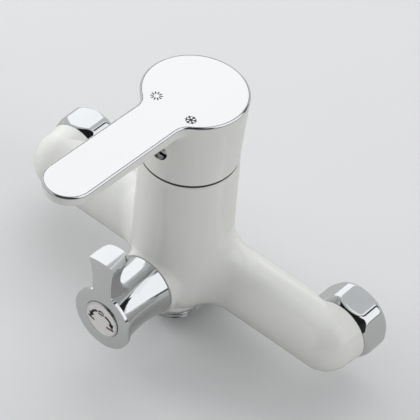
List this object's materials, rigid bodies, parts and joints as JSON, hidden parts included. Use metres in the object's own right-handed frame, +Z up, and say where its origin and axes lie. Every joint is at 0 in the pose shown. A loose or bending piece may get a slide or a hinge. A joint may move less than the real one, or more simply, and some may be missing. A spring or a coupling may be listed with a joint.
{
  "type": "bath mixer",
  "caption": "Wall-mounted single-lever bath and shower mixer: white tower and arms, flat lever handle, chromed diverter knob and union nuts, outlets below.",
  "frame": {"origin": "midway between the two inlet axes, in the plane where the union nuts open towards the wall", "axes": "+Z up along the tower, +Y to the wall, +X to the right as seen from the front, where the lever and the knob point along -Y"},
  "size_m": [0.1825, 0.1226, 0.1305],
  "materials": {
    "white_enamel": "gloss",
    "chrome": "polished",
    "index_plastic": "satin",
    "dark_plastic": "matt",
    "brass": "machined",
    "cartridge_plastic": "moulded",
    "ceramic": "lapped",
    "rubber": "matt",
    "stainless_steel": "machined"
  },
  "bodies": {
    "root": {"body": "white_enamel", "inlet_tail_left": "brass", "inlet_tail_right": "brass", "inlet_washer_left": "rubber", "inlet_washer_right": "rubber", "cartridge_base": "cartridge_plastic", "port_seals": "rubber", "fixed_disc": "ceramic", "cartridge_housing": "cartridge_plastic", "cartridge_nut": "brass", "trim_ring": "dark_plastic", "spout_nipple": "chrome", "spout_seal": "rubber", "shower_nipple": "chrome", "shower_seal": "rubber", "diverter_bonnet": "brass", "diverter_seat_disc": "ceramic", "diverter_seat_seal": "rubber"},
    "rotor": {"cartridge_rotor": "cartridge_plastic", "spindle_pin": "stainless_steel"},
    "handle": {"handle": "white_enamel", "lever_spindle": "brass", "handle_grub_screw": "stainless_steel"},
    "carrier": {"disc_carrier": "cartridge_plastic", "moving_disc": "ceramic"},
    "knob": {"diverter_knob": "chrome", "knob_index_cap": "index_plastic", "knob_screw": "stainless_steel", "diverter_stem": "brass", "stem_rings": "rubber", "diverter_selector_disc": "ceramic"},
    "nut_left": {"inlet_nut_left": "chrome"},
    "nut_right": {"inlet_nut_right": "chrome"}
  },
  "joints": [
    {"name": "handle_turn", "type": "hinge", "parent": "root", "child": "rotor", "pos_m": [0, -0.03, 0.0494], "axis": [0, 0, 1], "range_deg": [-45, 45]},
    {"name": "handle_tilt", "type": "hinge", "parent": "rotor", "child": "handle", "pos_m": [0, -0.03, 0.0494], "axis": [-1, 0, 0], "range_deg": [0, 20]},
    {"name": "disc_slide", "type": "slide", "parent": "rotor", "child": "carrier", "axis": [0, -1, 0], "range_m": [0, 0.00233]},
    {"name": "knob_turn", "type": "hinge", "parent": "root", "child": "knob", "pos_m": [0, -0.052, 0], "axis": [0, 1, 0], "range_deg": [-90, 90]},
    {"name": "nut_left_spin", "type": "hinge", "parent": "root", "child": "nut_left", "pos_m": [-0.075, -0.007, 0], "axis": [0, 1, 0], "continuous": true},
    {"name": "nut_right_spin", "type": "hinge", "parent": "root", "child": "nut_right", "pos_m": [0.075, -0.007, 0], "axis": [0, 1, 0], "continuous": true}
  ],
  "couplings": [
    {"joint": "disc_slide", "follows": "handle_tilt", "m_per_rad": 0.006663}
  ]
}
